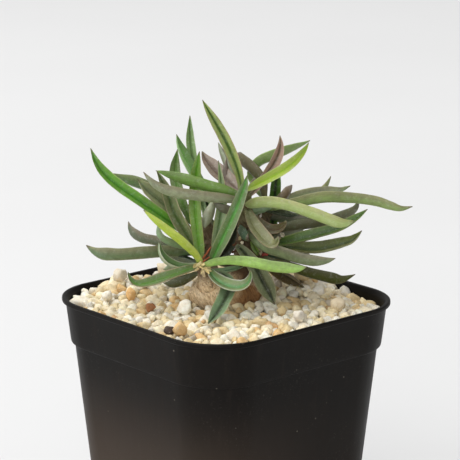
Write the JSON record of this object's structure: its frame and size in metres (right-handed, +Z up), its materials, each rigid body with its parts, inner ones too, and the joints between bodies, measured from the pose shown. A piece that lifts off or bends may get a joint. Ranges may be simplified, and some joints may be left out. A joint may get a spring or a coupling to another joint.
{
  "type": "potted caudiciform euphorbia",
  "caption": "Small branching succulent with narrow channelled leaves and a swollen woody base, in a square tapered black pot topped with pale gravel.",
  "frame": {"origin": "centre of the pot's flat underside", "axes": "+Z up, out of the pot's mouth; +X and +Y along the pot's straight sides. The picture's camera looks from the -X -Y corner"},
  "size_m": [0.0799, 0.075, 0.129],
  "materials": {
    "pot_plastic": "moulded black plastic, satin",
    "potting_mix": "dark granular potting mix",
    "gravel": "cream and white crushed gravel, matt, some stones stained orange",
    "bark": "dry fibrous bark, tan to red-brown",
    "leaf_green": "fleshy leaf, fresh to mid green, satin",
    "leaf_lime": "fleshy leaf, yellow-green, satin",
    "leaf_grey": "fleshy leaf, grey-green bloom",
    "leaf_brown": "fleshy leaf, grey-brown to pinkish underside",
    "leaf_dark": "fleshy leaf, dark green"
  },
  "bodies": {
    "root": {"pot": "pot_plastic", "potting_mix": "potting_mix", "gravel_bed": "gravel", "caudex": "bark", "leaf_front_01": "leaf_green", "leaf_front_02": "leaf_lime", "leaf_front_03": "leaf_green", "leaf_front_04": "leaf_green", "leaf_front_05": "leaf_dark", "leaf_front_06": "leaf_green", "leaf_front_07": "leaf_grey", "leaf_front_08": "leaf_grey", "leaf_front_09": "leaf_brown", "leaf_front_10": "leaf_green", "leaf_front_11": "leaf_grey", "leaf_centre_01": "leaf_green", "leaf_centre_02": "leaf_lime", "leaf_centre_03": "leaf_brown", "leaf_centre_04": "leaf_dark", "leaf_centre_05": "leaf_green", "leaf_centre_06": "leaf_brown", "leaf_centre_07": "leaf_grey", "leaf_centre_08": "leaf_brown", "leaf_centre_09": "leaf_lime", "leaf_centre_10": "leaf_dark", "leaf_centre_11": "leaf_grey", "leaf_centre_12": "leaf_brown", "leaf_centre_13": "leaf_grey", "leaf_centre_14": "leaf_brown", "leaf_back_left_01": "leaf_green", "leaf_back_left_02": "leaf_green", "leaf_back_left_03": "leaf_green", "leaf_back_left_04": "leaf_green", "leaf_back_left_05": "leaf_dark", "leaf_back_left_06": "leaf_brown", "leaf_back_left_07": "leaf_brown", "leaf_back_left_08": "leaf_dark", "leaf_back_left_09": "leaf_grey", "leaf_back_left_10": "leaf_brown", "leaf_right_01": "leaf_dark", "leaf_right_02": "leaf_brown", "leaf_right_03": "leaf_dark", "leaf_right_04": "leaf_dark", "leaf_right_05": "leaf_dark", "leaf_right_06": "leaf_grey", "leaf_right_07": "leaf_brown", "leaf_back_right_01": "leaf_green", "leaf_back_right_02": "leaf_brown", "leaf_back_right_03": "leaf_brown", "leaf_back_right_04": "leaf_brown", "leaf_back_right_05": "leaf_dark", "leaf_back_right_06": "leaf_dark", "leaf_back_right_07": "leaf_green", "leaf_back_left_11": "leaf_green", "leaf_back_right_08": "leaf_dark", "leaf_back_left_12": "leaf_brown", "leaf_centre_15": "leaf_green", "leaf_centre_16": "leaf_dark", "leaf_right_08": "leaf_dark", "leaf_front_12": "leaf_green"}
  },
  "joints": []
}
